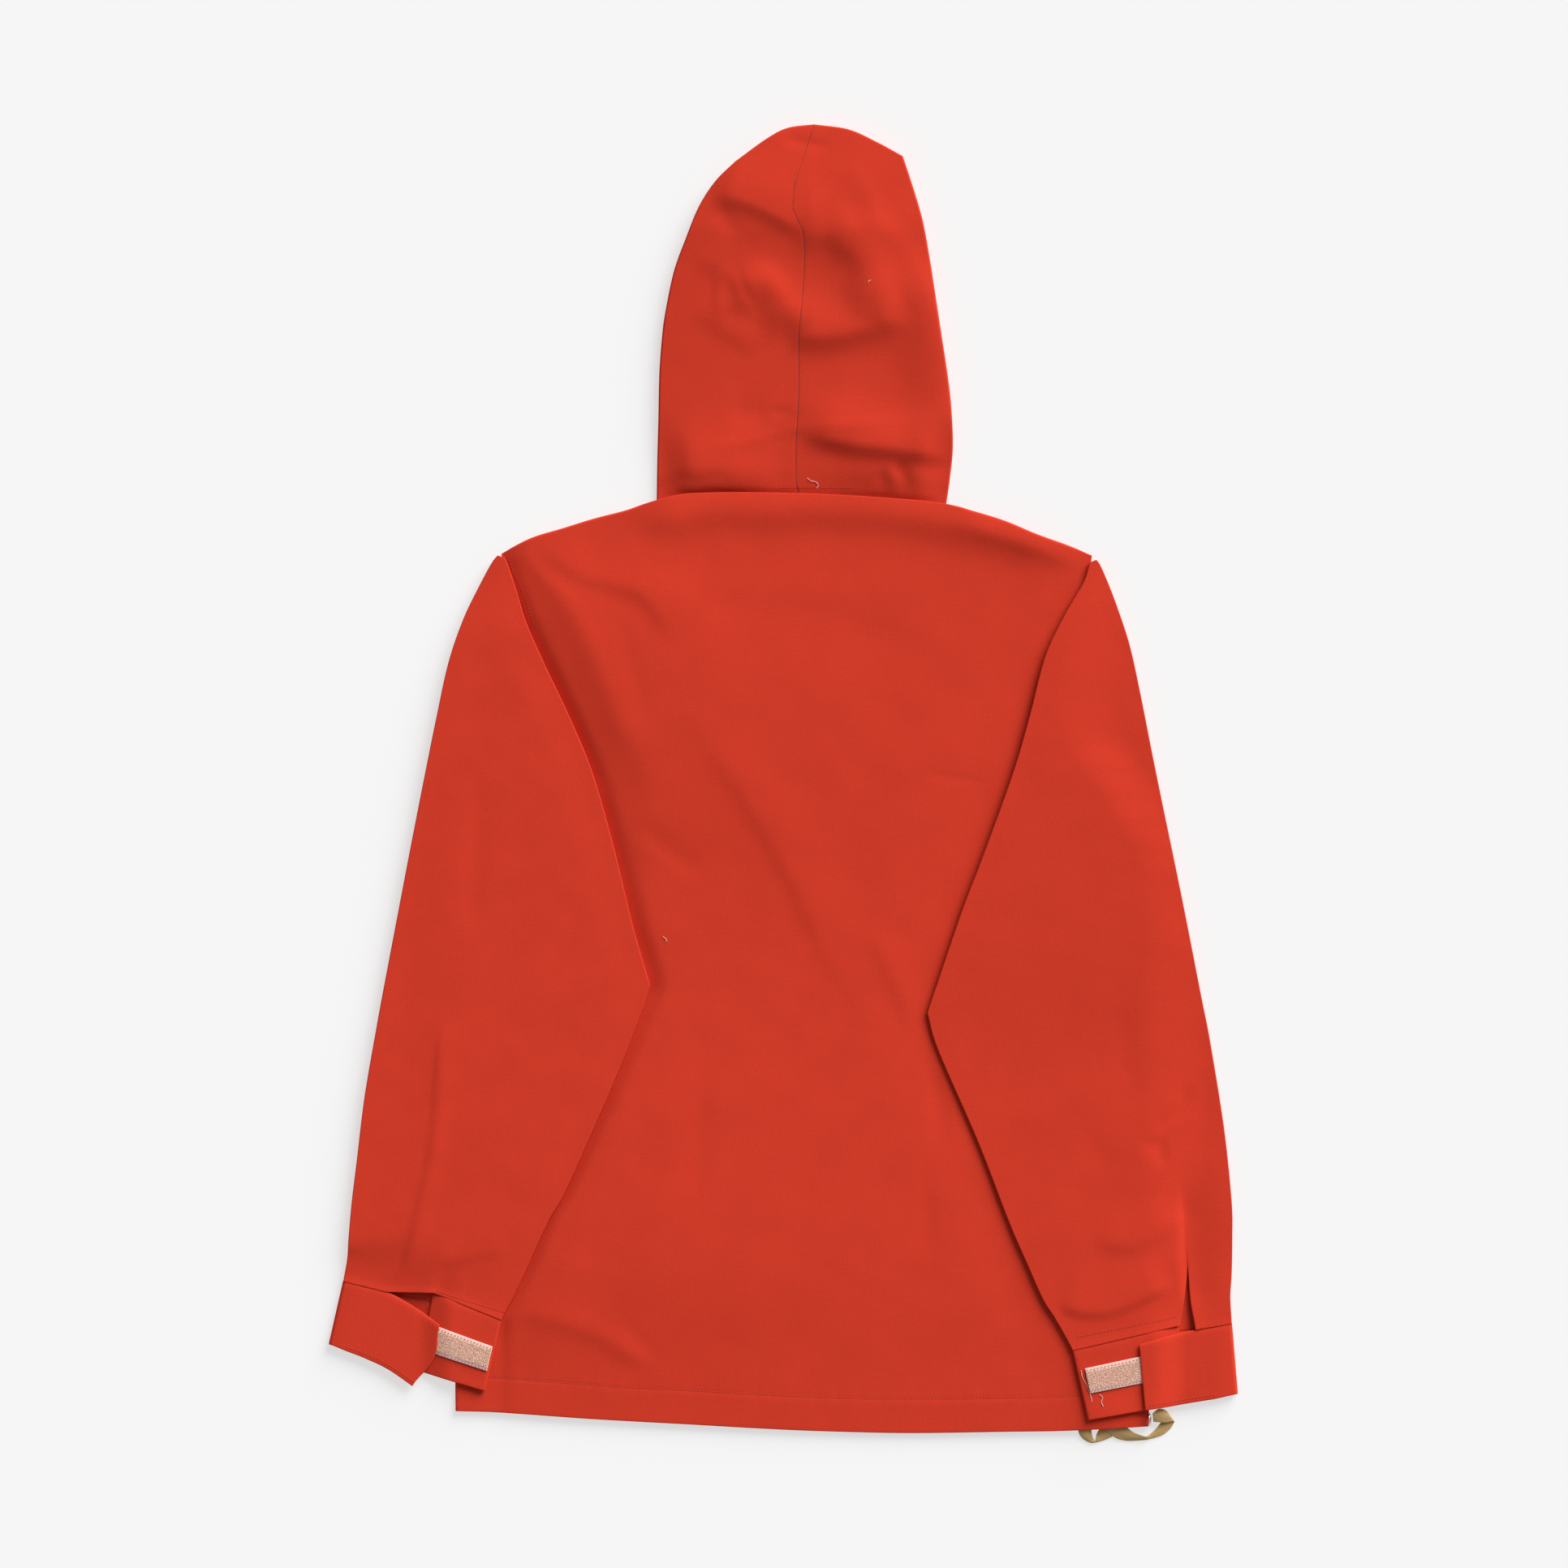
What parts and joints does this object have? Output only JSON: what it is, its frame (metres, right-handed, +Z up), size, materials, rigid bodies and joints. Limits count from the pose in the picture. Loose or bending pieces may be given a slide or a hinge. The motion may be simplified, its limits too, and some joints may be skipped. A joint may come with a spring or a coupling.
{
  "type": "anorak pullover",
  "caption": "Hooded cotton pullover laid flat on its front, sleeves folded over the back, tabbed cuffs and a flat drawcord at the hem.",
  "frame": {"origin": "middle of the garment's outline, on the surface it lies on", "axes": "+Y from the hem to the hood, +X to the right seen from above, +Z up out of the surface"},
  "size_m": [0.6887, 1.0009, 0.0118],
  "materials": {
    "shell_cloth": "plain-weave cotton, orange-red, matte",
    "loop_tape": "looped pile tape, pinkish beige",
    "drawcord_tape": "flat woven cotton tape, tan",
    "eyelet_metal": "bright rolled eyelet"
  },
  "bodies": {
    "root": {"front": "shell_cloth", "back": "shell_cloth", "sleeve_left": "shell_cloth", "sleeve_right": "shell_cloth", "cuff_left": "shell_cloth", "cuff_right": "shell_cloth", "loop_tape_left": "loop_tape", "loop_tape_right": "loop_tape", "hood_left": "shell_cloth", "hood_right": "shell_cloth", "eyelet": "eyelet_metal", "drawcord": "drawcord_tape"}
  },
  "joints": []
}
